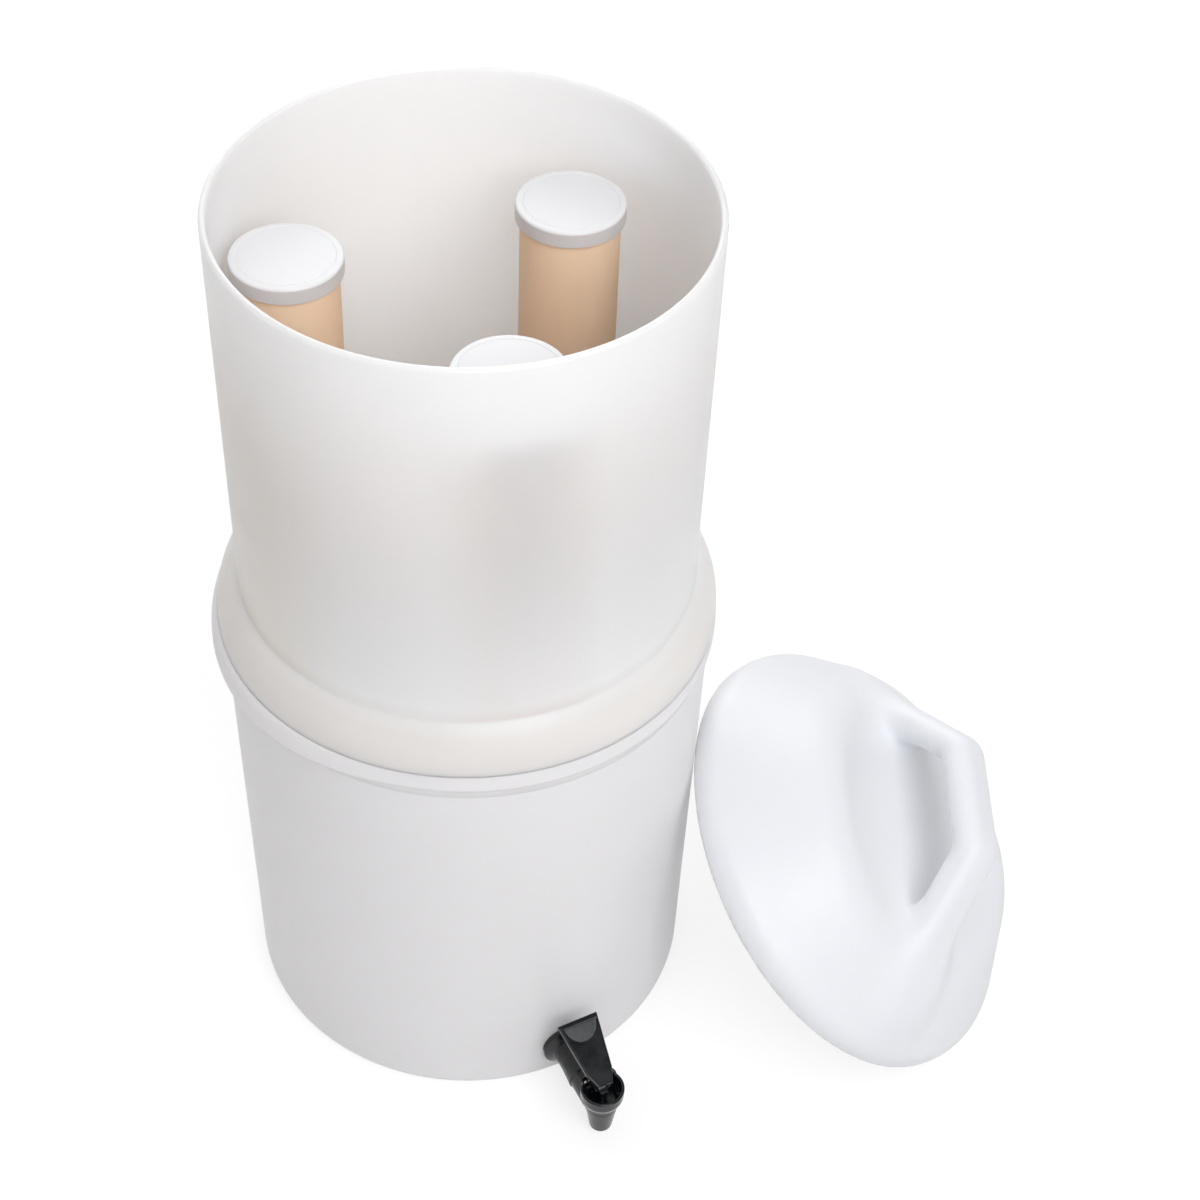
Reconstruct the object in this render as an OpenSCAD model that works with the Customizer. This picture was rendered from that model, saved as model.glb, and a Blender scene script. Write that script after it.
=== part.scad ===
// Gravity water filter with a lever tap.
// A raw-water tub with three ceramic candles stands on a clean-water container.
// The tap is at the front, towards -Y. The lid is off and leans on the container.
// The origin is the centre of the container's foot, on the surface it stands on.

/* [Lower container] */
// Height of the container to the top of its lip
lower_h = 279; // [230:1:330]
// Outer radius of its wall just above the foot
foot_r = 127.6; // [120:0.1:131]
// Outer radius of its wall just under the lip
neck_r = 131.4; // [128:0.1:140]
// Height of the lip band
lip_h = 17; // [12:0.5:22]
// How far the lip stands out from the wall
lip_out = 6.8; // [4:0.1:9]
// Radius of the rounded corner round the foot
foot_round = 6; // [3:0.5:10]
// Thickness of both containers' walls
wall = 3.5; // [2.5:0.1:5]
// Thickness of both containers' floors
floor_t = 4; // [3:0.1:6]

/* [Upper container] */
// Height of the rim above the lower container's lip
tub_h = 250; // [240:1:300]
// How much smaller the tub's rim is than the lower container's neck, on the radius
rim_in = 8.4; // [4:0.1:13]
// How much smaller the tub's waist, just above its collar, is than that neck
waist_in = 9.8; // [6:0.1:14]
// How far the collar that sits on the lip stands out beyond the spigot
collar_over = 7.3; // [5:0.1:9]
// Height of the collar's flare
collar_h = 28; // [20:1:40]
// Depth of the spigot that drops into the lower container
spigot_h = 19; // [12:0.5:30]
// Clearance between the spigot and the lower container's mouth
spigot_gap = 1.2; // [0.5:0.1:2.5]

/* [Candles] */
// Gap between the first candle, on the right at the back, and the tub's wall at its floor
candle_1_gap = 15.8; // [6:0.1:22]
// Compass direction of the first candle, from +X towards +Y
candle_1_angle = 24; // [10:1:40]
// Gap between the second candle, on the left, and the tub's wall
candle_2_gap = 8.3; // [6:0.1:22]
// Compass direction of the second candle
candle_2_angle = 146; // [130:1:160]
// Gap between the third candle, at the front, and the tub's wall
candle_3_gap = 17.8; // [6:0.1:22]
// Compass direction of the third candle
candle_3_angle = 260; // [250:1:280]
// Diameter of a ceramic candle
candle_d = 50.8; // [44:0.1:56]
// Height of a candle from the tub's floor to the top of its cap
candle_h = 226; // [180:1:230]
// Wall of the hollow ceramic
ceramic_wall = 8; // [5:0.5:12]
// Height of the moulded base under the ceramic
base_h = 10; // [7:0.5:16]
// Height of the cap
cap_h = 9; // [6:0.5:14]
// Wall of the cap
cap_wall = 2.5; // [1.5:0.1:3.5]
// Diameter of the threaded stem under a candle
stem_d = 12; // [9:0.1:14]
// Diameter of the water passage through that stem
stem_bore = 5; // [3:0.1:6]
// Length of the stem below the candle's base
stem_l = 30; // [26:1:38]
// Thickness of the gasket under a candle
candle_gasket_t = 2; // [1:0.1:3]
// Height of a wing nut
wing_nut_h = 11; // [8:0.5:14]
// Length across a wing nut's wings
wing_span = 40; // [32:1:46]

/* [Tap] */
// Height of the tap's axis above the foot
tap_z = 26; // [24:0.5:32]
// Distance from the container's wall to the valve's axis
reach = 47.8; // [44:0.1:54]
// Diameter of the threaded shank that passes through the wall
shank_d = 16; // [14:0.1:18]
// Diameter of the barrel between flange and valve
barrel_d = 18.5; // [16:0.1:20]
// Diameter of the water passage through the barrel
barrel_bore = 7; // [5:0.1:8]
// Diameter of the flange against the wall
flange_d = 28; // [24:0.5:32]
// Thickness of the flange
flange_t = 3; // [2.4:0.1:4]
// Thickness of each of the tap's two rubber gaskets
tap_gasket_t = 2.2; // [1.5:0.1:3]
// Outer diameter of the cup over the valve at its rim
cup_d = 25.2; // [24:0.1:28]
// Depth of the cup above the bonnet
cup_depth = 10.3; // [9:0.1:12]
// Outer diameter of the spout at the top
spout_top_d = 18.2; // [17:0.1:20]
// Outer diameter of the spout at the tip
spout_tip_d = 13.2; // [12:0.1:15]
// Diameter of the outlet in the spout
outlet_d = 8; // [6:0.1:8.5]
// Depth of the spout's tip below the tap's axis
spout_drop = 18.1; // [17:0.1:19]

/* [Valve and lever] */
// Diameter of the valve chamber
chamber_d = 12; // [11.4:0.1:13]
// Depth of the valve seat below the tap's axis
seat_drop = 9; // [8:0.1:10]
// Diameter of the rubber seat plug
plug_d = 10.4; // [9.6:0.1:10.8]
// Diameter of the valve stem
valve_stem_d = 4; // [3:0.1:4.4]
// Diameter of the spring's wire
spring_wire = 0.9; // [0.6:0.1:1.2]
// Diameter of the lever's pin
pin_d = 3; // [2.4:0.1:3.4]
// Distance of the pin behind the valve's axis
pin_back = 8; // [7.5:0.1:8.5]
// Angle of the lever's paddle above the level
paddle_angle = 25.4; // [22:0.1:30]
// Length of the paddle from the pin to its thumb end
paddle_l = 32.8; // [28:0.1:38]
// Length of the paddle in front of the pin, over the stem
paddle_front = 7.8; // [7:0.1:8.5]
// Height of the paddle's face above the pin
paddle_rise = 11.3; // [10.8:0.1:12.5]
// Width of the paddle at its thumb end
paddle_w = 24.6; // [20:0.1:32]
// Thickness of the paddle
paddle_t = 3; // [2.4:0.1:3.4]
// Distance of the tongue in the cup from the lever's middle
tongue_off = 2.4; // [0:0.1:3]

/* [Lid] */
// Clearance between the lid's skirt and the tub's rim
lid_gap = 1.5; // [0.8:0.1:3]
// Thickness of the lid's wall
lid_wall = 3.5; // [2.5:0.1:4.5]
// Height of the lid's straight skirt
skirt_h = 4.5; // [3:0.5:10]
// Radius of the lid's rounded shoulder
shoulder_round = 17; // [10:0.5:24]
// Height of the grip's top above the lid's edge
grip_h = 103.5; // [95:0.5:115]
// Width of the grip
grip_w = 24; // [18:0.5:30]
// Thickness of the grip
grip_t = 15.5; // [13:0.5:20]
// Height of the hollow under the grip above the lid's edge
hollow_h = 50; // [42:0.5:56]
// Radius of the wide hollow across the lid
hollow_r = 220; // [160:1:320]
// Angle of the lid's axis above the level as it leans
lean = 46.6; // [40:0.1:60]
// Compass direction in which the leaning lid faces
lean_turn = -38.9; // [-60:0.1:-20]
// Turn of the lid about its own axis
grip_turn = -70.8; // [-180:0.1:180]
// Sideways offset of the leaning lid
lean_side = 23; // [0:1:30]

/* [Hidden] */

$fn = 96;
eps = 0.01;
arc_steps = 6;
round_fn = 360;

// Fits: a turning or sliding fit on the radius, and a hole that a threaded stem passes
running_fit = 0.05;
bolt_fit = 0.4;
// Gap between a rubber washer and the curved wall that it seals
seat_gap = 0.3;

// Lower container
lip_r = neck_r + lip_out;
mouth_r = neck_r - wall;
lip_z = lower_h - lip_h;
edge_round = wall / 2;
function lower_wall_r(z) = foot_r + (neck_r - foot_r) * z / lip_z;

// Upper container
rim_r = neck_r - rim_in;
waist_r = neck_r - waist_in;
rim_z = lower_h + tub_h;
tub_under_z = lower_h - spigot_h;
tub_floor_z = tub_under_z + floor_t;
spigot_r = mouth_r - spigot_gap;
collar_r = spigot_r + collar_over;
spigot_taper = 2.5;
collar_edge = 3;
flare_h = collar_h - collar_edge;
function flare_r(t) = waist_r + (collar_r - waist_r) * (1 - t * t);

// Candles
candle_r = candle_d / 2;
base_z = tub_floor_z + candle_gasket_t;
ceramic_z = base_z + base_h;
cap_top_z = tub_floor_z + candle_h;
ceramic_top_z = cap_top_z - cap_wall;
candle_gasket_r = candle_r - 8;
nut_hub_r = stem_d / 2 + 4;
candle_gaps = [candle_1_gap, candle_2_gap, candle_3_gap];
candle_angles = [candle_1_angle, candle_2_angle, candle_3_angle];

// Tap: at_tap() has its +Z out of the wall and its +Y up; at_valve() stands on the valve's axis
tap_wall_r = lower_wall_r(tap_z);
valve_y = -(tap_wall_r + reach);
flange_z = tap_gasket_t;
barrel_z = flange_z + flange_t;
cup_r = cup_d / 2;
sleeve_l = 11;
sleeve_end = reach - cup_r - 8;
cup_wall = 2;
seat_z = tap_z - seat_drop;
spout_z = tap_z - spout_drop;
chamber_top_z = tap_z + barrel_bore / 2 + 0.5;
seal_t = 1;
bonnet_t = 1.4;
bonnet_z = chamber_top_z + seal_t;
bonnet_top_z = bonnet_z + bonnet_t;
disc_r = spout_top_d / 2 - 1.1;
recess_r = disc_r + 0.2;
cup_top_z = bonnet_top_z + cup_depth;
pin_r = pin_d / 2;
hub_r = pin_r + 1.7;
ear_r = hub_r + 0.2;
pin_z = cup_top_z - 0.5;
slot_z = pin_z - hub_r - 0.4;
inner_face = sqrt(pow(tap_wall_r - wall, 2) - pow(flange_d / 2, 2));
washer_back = inner_face - tap_gasket_t + 0.6;
lock_nut_t = 7;
lock_nut_r = 14.5;
shank_in = tap_wall_r - washer_back + lock_nut_t + 4;

// Valve and lever
plug_z = seat_z + 0.1;
plug_t = 3.4;
plug_top_z = plug_z + plug_t;
valve_foot_z = plug_z + 1.4;
toe_r = 1.5;
head_gap = 0.15;
head_z = pin_z + toe_r + head_gap;
head_t = 1.5;
head_r = valve_stem_d / 2 + 1.6;
spring_r = (plug_d - 2 * spring_wire) / 2;
spring_turns = 4.5;
fork_gap = valve_stem_d + 0.6;
hub_w = 2 * sqrt(pow(cup_r - cup_wall, 2) - pow(pin_back, 2));
lever_gap = 0.25;
lever_w = hub_w - 2 * lever_gap;
paddle_under = paddle_rise - paddle_t;
tongue_back = pin_back + head_r + 1.7;
tongue_t = 1.4;
tongue_drop = 0.6;
rest_r = 9.8;
rest_depth = 1.2;
rest_end = paddle_l - 3.6;

// Lid
lid_r = rim_r + lid_gap + lid_wall;
cone_reach = lid_r - shoulder_round + sqrt(2) * shoulder_round + skirt_h;
form_top = cone_reach / 2;
lid_edge = lid_wall / 2;
leg_bury = 8;
leg_proud = 0.8;
grip_round = 6;
grip_bend = 20;
foot_w = 1.3 * grip_w;
foot_t = 1.3 * grip_t;
grip_foot_z = hollow_h - leg_bury;
leg_sum = cone_reach + leg_proud;
bend_x = leg_sum - grip_h + grip_bend * (1 - sqrt(2));
bend_z = grip_h - grip_bend;
lid_rest_gap = 0.3;
tilt = 90 - lean;
lid_z = (lid_r - lid_edge) * sin(tilt) - lid_edge * cos(tilt) + lid_edge;
ring_r = lid_r - lid_edge;

// Radius of whatever the leaning lid can meet at a height
function standing_r(z) = z > lip_z - lip_out ? lip_r : lower_wall_r(z);
// Distance from the container's axis at which the lid's edge at angle t just clears the wall
function lean_reach(t) =
    sqrt(pow(standing_r(lid_z + lid_edge * cos(tilt) + ring_r * sin(tilt) * cos(t)) + lid_edge
             + lid_rest_gap, 2) - pow(lean_side + ring_r * sin(t), 2))
    + ring_r * cos(tilt) * cos(t) - lid_edge * sin(tilt);
lid_out = max([for (t = [-40:1:40]) lean_reach(t)]);

// Points of a circular arc in a profile
function arc(cx, cy, r, from, to, steps = arc_steps) =
    [for (i = [0:steps]) let (a = from + (to - from) * i / steps) [cx + r * cos(a), cy + r * sin(a)]];

// Points of a quarter of an ellipse in a profile
function oval(cx, cy, rx, ry, from, steps = arc_steps) =
    [for (i = [0:steps]) let (a = from + 90 * i / steps) [cx + rx * cos(a), cy + ry * sin(a)]];

module at_candle(i) rotate([0, 0, candle_angles[i]])
    translate([spigot_r - spigot_taper - wall - candle_gaps[i] - candle_r, 0, 0]) children();
module at_tap() translate([0, -tap_wall_r, tap_z]) rotate([90, 0, 0]) children();
module at_valve() translate([0, valve_y, 0]) children();
// The lever's own frame: +X up the paddle, +Y out of its face, +Z along the pin
module at_lever() translate([0, valve_y + pin_back, pin_z])
    rotate([0, 90, 0]) rotate([0, 0, 90 + paddle_angle]) children();

module tube_x(r, w) rotate([0, 90, 0]) cylinder(r = r, h = w, center = true);

module lower_outer() {
    rotate_extrude($fn = round_fn) polygon(concat(
        [[0, 0]],
        arc(foot_r - foot_round, foot_round, foot_round, -90, 0),
        [[neck_r, lip_z]],
        oval(lip_r - 3, lip_z + 4, 3, 4, -90, 4),
        oval(lip_r - 4, lip_z + 4.5, 4, lip_h - 4.5, 0),
        [[0, lower_h]]
    ));
}

module lower_inner(gap = 0) {
    inner_round = foot_round - 2;
    rotate_extrude($fn = round_fn) polygon(concat(
        [[0, floor_t]],
        arc(foot_r - wall - inner_round - gap, floor_t + inner_round, inner_round, -90, 0),
        [[mouth_r - gap, lip_z], [mouth_r, lower_h - edge_round], [mouth_r + edge_round, lower_h],
         [mouth_r + edge_round, lower_h + 1], [0, lower_h + 1]]
    ));
}

module lower_container() {
    color("whitesmoke") difference() {
        lower_outer();
        lower_inner();
        at_tap() cylinder(d = shank_d + bolt_fit, h = 4 * wall, center = true);
    }
}

// The tub is one moulded skin: rim, wall, flared collar, seat on the lip, spigot and floor
module upper_container() {
    flare_z = lower_h + collar_edge;
    flare = [for (i = [0:10]) [flare_r(i / 10), flare_z + flare_h * i / 10]];
    inner_flare = [for (i = [10:-1:0]) [flare_r(i / 10) - wall, flare_z + flare_h * i / 10]];
    corner = 5;
    spigot_low = spigot_r - spigot_taper;
    outside = concat(
        [[0, tub_under_z]],
        arc(spigot_low - corner, tub_under_z + corner, corner, -90, 0),
        [[spigot_r, lower_h]],
        arc(collar_r - 3, lower_h + 3, 3, -90, 0),
        flare,
        arc(rim_r - edge_round, rim_z - edge_round, edge_round, 0, 90, 4)
    );
    inside = concat(
        arc(rim_r - edge_round, rim_z - edge_round, edge_round, 90, 180, 4),
        inner_flare,
        [[collar_r - wall, lower_h + wall + 1], [collar_r - wall - 1, lower_h + wall],
         [spigot_r - wall, lower_h + wall]],
        arc(spigot_low - wall - 2, tub_floor_z + 2, 2, 0, -90, 3),
        [[0, tub_floor_z]]
    );
    color("white") difference() {
        rotate_extrude($fn = round_fn) polygon(concat(outside, inside));
        for (i = [0:2]) at_candle(i)
            translate([0, 0, tub_under_z - 1]) cylinder(d = stem_d + bolt_fit, h = floor_t + 2);
    }
}

// Candle: hollow ceramic closed at the top, cap over it, moulded base and stem under it
module ceramic_candle(i) {
    color("peachpuff") at_candle(i) rotate_extrude() polygon(concat(
        [[candle_r - ceramic_wall, ceramic_z], [candle_r, ceramic_z]],
        arc(candle_r - 2, ceramic_top_z - 2, 2, 0, 90, 3),
        [[0, ceramic_top_z], [0, ceramic_top_z - ceramic_wall],
         [candle_r - ceramic_wall, ceramic_top_z - ceramic_wall]]
    ));
}

module candle_cap(i) {
    cap_r = candle_r + cap_wall;
    color("snow") at_candle(i) difference() {
        rotate_extrude() polygon(concat(
            [[0, cap_top_z - cap_h], [cap_r, cap_top_z - cap_h]],
            arc(cap_r - 1.2, cap_top_z - 1.2, 1.2, 0, 90, 4),
            [[0, cap_top_z]]
        ));
        translate([0, 0, cap_top_z - cap_h - 1])
            cylinder(r = candle_r + running_fit, h = cap_h - cap_wall + 1);
    }
}

module candle_base(i) {
    color("ivory") at_candle(i) difference() {
        union() {
            rotate_extrude() polygon(concat(
                [[0, base_z]],
                arc(candle_r - 1.5, base_z + 1.5, 1.5, -90, 0, 3),
                [[candle_r, ceramic_z], [0, ceramic_z]]
            ));
            translate([0, 0, base_z - stem_l]) cylinder(d = stem_d, h = stem_l + 1);
            // Spigot that centres the ceramic
            translate([0, 0, ceramic_z - 1])
                cylinder(r = candle_r - ceramic_wall - running_fit, h = 5);
        }
        translate([0, 0, base_z - stem_l - 1]) cylinder(d = stem_bore, h = stem_l + base_h + 10);
    }
}

module candle_gasket(i) {
    color("dimgray") at_candle(i) translate([0, 0, tub_floor_z]) difference() {
        cylinder(r = candle_gasket_r, h = candle_gasket_t);
        translate([0, 0, -1])
            cylinder(r = stem_d / 2 + running_fit, h = candle_gasket_t + 2);
    }
}

module wing_nut(i) {
    wing_t = 3.6;
    flange_h = 2.4;
    color("gainsboro") at_candle(i) translate([0, 0, tub_under_z - wing_nut_h]) difference() {
        union() {
            cylinder(r = nut_hub_r, h = wing_nut_h);
            translate([0, 0, wing_nut_h - flange_h]) cylinder(r = nut_hub_r + 3, h = flange_h);
            for (side = [0, 180]) rotate([90, 0, side]) translate([0, 0, -wing_t / 2])
                linear_extrude(wing_t) polygon(concat(
                    [[0, wing_nut_h - flange_h - 1], [0, 2]],
                    arc(wing_span / 2 - 3, 3, 3, -90, 90),
                    [[nut_hub_r + 2, wing_nut_h - flange_h - 1]]
                ));
        }
        translate([0, 0, -1]) cylinder(r = stem_d / 2 + running_fit, h = wing_nut_h + 2);
    }
}

// Tap body: shank, flange, barrel, valve housing with its open cup, and spout
module tap_body() {
    color("#202124") difference() {
        tap_moulding();
        translate([0, valve_y + pin_back, pin_z]) tube_x(pin_r, 2 * cup_d);
    }
}

module tap_moulding() {
    difference() {
        union() {
            at_tap() rotate_extrude() polygon(barrel_outline());
            at_valve() rotate_extrude() polygon(housing_outline());
        }
        at_tap() translate([0, 0, -shank_in - 1]) cylinder(d = barrel_bore, h = shank_in + reach + 1);
        at_valve() rotate_extrude() polygon(water_way());
        // The cup's wall stands higher only as two ears round the pin
        difference() {
            translate([-cup_d, valve_y - cup_d, cup_top_z]) cube([2 * cup_d, 2 * cup_d, cup_d]);
            tap_ears();
        }
        // Slot at the back of the cup, where the lever comes in
        translate([-hub_w / 2, valve_y, slot_z]) cube([hub_w, cup_r + 3, cup_d]);
    }
}

function barrel_outline() = [
    [0, -shank_in], [shank_d / 2, -shank_in], [shank_d / 2, flange_z],
    [flange_d / 2, flange_z], [flange_d / 2, barrel_z - 2], [barrel_d / 2 + 0.4, barrel_z],
    [barrel_d / 2, barrel_z + 1.5], [barrel_d / 2, sleeve_end - sleeve_l],
    [barrel_d / 2 + 0.8, sleeve_end], [barrel_d / 2, sleeve_end + 0.5],
    [barrel_d / 2, reach - 6], [spout_top_d / 2 - 1, reach], [0, reach]
];

function housing_outline() = [
    [0, spout_z], [spout_tip_d / 2 - 0.8, spout_z], [spout_tip_d / 2, spout_z + 0.8],
    [spout_top_d / 2, tap_z - 0.5], [spout_top_d / 2 + 0.3, chamber_top_z - 0.5],
    [cup_r - 1.4, bonnet_top_z + 0.6], [cup_r - 0.3, bonnet_top_z + 3.6], [cup_r, cup_top_z],
    [cup_r, pin_z + ear_r + 1], [0, pin_z + ear_r + 1]
];

// Outlet, valve chamber and cup, one above the other
function water_way() = [
    [0, spout_z - 1], [outlet_d / 2, spout_z - 1], [outlet_d / 2, seat_z],
    [chamber_d / 2, seat_z], [chamber_d / 2, chamber_top_z],
    [recess_r, chamber_top_z], [recess_r, bonnet_top_z + 1.6],
    [cup_r - cup_wall, bonnet_top_z + 3.6], [cup_r - cup_wall, pin_z + ear_r + 2],
    [0, pin_z + ear_r + 2]
];

module tap_ears() {
    translate([0, valve_y + pin_back, pin_z]) {
        tube_x(ear_r, 3 * cup_d);
        translate([-1.5 * cup_d, -ear_r, -cup_r]) cube([3 * cup_d, 2 * ear_r, cup_r]);
    }
}

module tap_bonnet() {
    color("#2b2b2d") at_valve() translate([0, 0, bonnet_z]) difference() {
        cylinder(r = disc_r, h = bonnet_t);
        translate([0, 0, -1]) cylinder(d = valve_stem_d + 2 * running_fit, h = bonnet_t + 2);
    }
}

module tap_seal_disc() {
    color("#3a3a3a") at_valve() translate([0, 0, chamber_top_z]) difference() {
        cylinder(r = disc_r, h = seal_t);
        translate([0, 0, -1]) cylinder(d = valve_stem_d + 2 * running_fit, h = seal_t + 2);
    }
}

// Paddle over the valve, the web that carries it, hub, fork under the stem's head, and tongue
module tap_lever() {
    color("#151516") difference() {
        union() {
            at_lever() {
                intersection() {
                    linear_extrude(paddle_w + 2, center = true) paddle_side();
                    rotate([90, 0, 0]) linear_extrude(4 * paddle_rise, center = true) paddle_plan();
                }
                linear_extrude(lever_w - 0.8, center = true) lever_web();
                cylinder(r = hub_r, h = lever_w, center = true);
            }
            lever_fork();
            lever_tongue();
        }
        translate([0, valve_y + pin_back, pin_z]) tube_x(pin_r + running_fit, cup_d);
        thumb_rest();
    }
}

module paddle_side() {
    polygon([[-paddle_front, paddle_rise - 0.6], [0.6 - paddle_front, paddle_rise],
             [paddle_l - 0.6, paddle_rise], [paddle_l, paddle_rise - 0.6],
             [paddle_l, paddle_under + 0.4], [paddle_l - 0.4, paddle_under],
             [-paddle_front, paddle_under]]);
}

module paddle_plan() {
    half = [[-paddle_front, 4.4], [-3, 6.2], [1, 7.9],
            [paddle_l - 1, paddle_w / 2], [paddle_l, paddle_w / 2 - 1]];
    polygon(concat(half, [for (i = [len(half) - 1:-1:0]) [half[i][0], -half[i][1]]]));
}

module lever_web() {
    polygon([[-1.8, 0], [2.6, 0], [5.5, paddle_under + 1], [-1.8, paddle_under + 1]]);
}

// D-shaped pocket for the thumb, with its straight side near the paddle's end
module thumb_rest() {
    at_lever() intersection() {
        translate([rest_end, paddle_rise - rest_depth, 0]) rotate([-90, 0, 0])
            cylinder(r = rest_r, h = 2 * rest_depth);
        translate([rest_end - 2 * rest_r, 0, -rest_r]) cube([2 * rest_r, 2 * paddle_rise, 2 * rest_r]);
    }
}

module lever_fork() {
    tine_w = 2.4;
    for (side = [-1, 1]) translate([side * (fork_gap + tine_w) / 2, valve_y, pin_z]) {
        tube_x(toe_r, tine_w);
        translate([-tine_w / 2, 0, -toe_r]) cube([tine_w, pin_back - pin_r - 0.6, 2 * toe_r]);
    }
}

// Narrow tongue that hangs from the paddle's front end into the cup, in front of the stem
module lever_tongue() {
    front = paddle_spot(-paddle_front, paddle_rise - 0.1);
    translate([-tongue_off, valve_y + pin_back, pin_z]) intersection() {
        rotate([90, 0, 90]) linear_extrude(cup_d, center = true) polygon([
            front, [-tongue_back - tongue_t, front[1] - 1.2], [-tongue_back - 0.6, -tongue_drop],
            [-tongue_back, -tongue_drop], [-tongue_back, front[1] - 2.6],
            paddle_spot(0.6 - paddle_front, paddle_under + 0.2),
            paddle_spot(2 - paddle_front, paddle_rise - 0.5)]);
        rotate([90, 0, 0]) linear_extrude(2 * cup_d, center = true)
            polygon([[-2, front[1]], [-0.4, -tongue_drop], [0.4, -tongue_drop], [2, front[1]]]);
    }
}

// A spot on the paddle in the frame of the pin: how far it is behind the pin, and above it
function paddle_spot(u, v) = [u * cos(paddle_angle) - v * sin(paddle_angle),
                              u * sin(paddle_angle) + v * cos(paddle_angle)];

module tap_pivot_pin() {
    color("silver") translate([0, valve_y + pin_back, pin_z])
        tube_x(pin_r, 2 * sqrt(pow(cup_r, 2) - pow(pin_back + pin_r, 2)));
}

module tap_stem() {
    color("#c8c8c4") at_valve() {
        translate([0, 0, valve_foot_z]) cylinder(d = valve_stem_d, h = head_z - valve_foot_z + eps);
        translate([0, 0, head_z]) cylinder(r = head_r, h = head_t);
    }
}

module tap_seat_plug() {
    color("#4a4a48") at_valve() difference() {
        translate([0, 0, plug_z]) union() {
            cylinder(d1 = plug_d - 1.6, d2 = plug_d, h = 0.8);
            translate([0, 0, 0.8]) cylinder(d = plug_d, h = plug_t - 0.8);
        }
        translate([0, 0, valve_foot_z]) cylinder(d = valve_stem_d, h = plug_t);
    }
}

// A round wire wound in a helix, with its ends on the plug and under the seal disc
module tap_spring() {
    wire_r = spring_wire / 2;
    low = plug_top_z + wire_r;
    high = chamber_top_z - wire_r;
    steps = 72;
    sides = 8;
    points = [for (i = [0:steps]) for (j = [0:sides - 1])
        let (turn = 360 * spring_turns * i / steps, side = 360 * j / sides,
             r = spring_r + wire_r * cos(side))
        [r * cos(turn), r * sin(turn), low + (high - low) * i / steps + wire_r * sin(side)]];
    skin = [for (i = [0:steps - 1]) for (j = [0:sides - 1])
        let (k = (j + 1) % sides)
        [i * sides + j, (i + 1) * sides + j, (i + 1) * sides + k, i * sides + k]];
    ends = [[for (j = [0:sides - 1]) j], [for (j = [sides - 1:-1:0]) steps * sides + j]];
    color("silver") at_valve() polyhedron(points, concat(skin, ends));
}

module tap_outer_gasket() {
    color("#3a3a3a") difference() {
        at_tap() translate([0, 0, -1]) cylinder(d = flange_d - 2, h = tap_gasket_t + 1);
        at_tap() translate([0, 0, -2]) cylinder(d = shank_d, h = tap_gasket_t + 4);
        lower_outer();
    }
}

module tap_inner_washer() {
    color("#3a3a3a") intersection() {
        difference() {
            translate([0, -washer_back, tap_z]) rotate([90, 0, 0])
                cylinder(d = flange_d - 2, h = 2 * tap_gasket_t + 2);
            at_tap() cylinder(d = shank_d, h = 80, center = true);
        }
        lower_inner(seat_gap);
    }
}

module tap_lock_nut() {
    color("#2b2b2d") translate([0, -washer_back + lock_nut_t, tap_z]) rotate([90, 0, 0]) difference() {
        union() {
            cylinder(r = lock_nut_r - 1.5, h = lock_nut_t, $fn = 6);
            translate([0, 0, lock_nut_t - 1.6]) cylinder(r = lock_nut_r - 1.5, h = 1.6);
        }
        translate([0, 0, -1]) cylinder(d = shank_d, h = lock_nut_t + 2);
    }
}

// Lid: a domed cone with a rounded shoulder, a wide hollow across its top, and an arch grip
module lid_form(inset) {
    r = lid_r - inset;
    shoulder = shoulder_round - inset;
    edge = inset == 0 ? arc(r - lid_edge, lid_edge, lid_edge, -90, 0, 3) : [[r, -1]];
    start = inset == 0 ? [[0, 0]] : [[0, -1]];
    bend = arc(r - shoulder, skirt_h, shoulder, 0, 45, 5);
    last = bend[len(bend) - 1];
    top = form_top - inset;
    rotate_extrude() polygon(concat(start, edge, bend,
        [[last[0] - (top - last[1]), top], [0, top]]));
}

module lid_hollow(grow) {
    translate([0, 0, hollow_h + hollow_r])
        rotate([0, 90, 0]) cylinder(r = hollow_r + grow, h = 3 * lid_r, center = true, $fn = 240);
}

// The grip is a loft along an arch: up one leg at 45 degrees, round a bend, along the
// top and down the other leg. Each station is [x, z, angle, width, thickness] of its outer face.
function leg_station(f) = let (z = grip_foot_z + f * (bend_z + grip_bend * sin(45) - grip_foot_z))
    [leg_sum - z, z, 45, foot_w + f * (grip_w - foot_w), foot_t + f * (grip_t - foot_t)];
function bend_station(a) =
    [bend_x + grip_bend * cos(a), bend_z + grip_bend * sin(a), a, grip_w, grip_t];
half_arch = concat([for (f = [0:0.25:0.75]) leg_station(f)], [for (a = [45:7.5:90]) bend_station(a)]);
arch = concat(half_arch, [for (i = [len(half_arch) - 1:-1:0]) let (s = half_arch[i])
    [-s[0], s[1], 180 - s[2], s[3], s[4]]]);

// Points round a bar of width w and thickness t with rounded corners
function bar_outline(w, t) = concat(
    arc(t / 2 - grip_round, w / 2 - grip_round, grip_round, 0, 90, 4),
    arc(grip_round - t / 2, w / 2 - grip_round, grip_round, 90, 180, 4),
    arc(grip_round - t / 2, grip_round - w / 2, grip_round, 180, 270, 4),
    arc(t / 2 - grip_round, grip_round - w / 2, grip_round, 270, 360, 4));
function station_ring(s) = [for (q = bar_outline(s[3], s[4])) let (out = q[0] - s[4] / 2)
    [s[0] + out * cos(s[2]), q[1], s[1] + out * sin(s[2])]];

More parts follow.
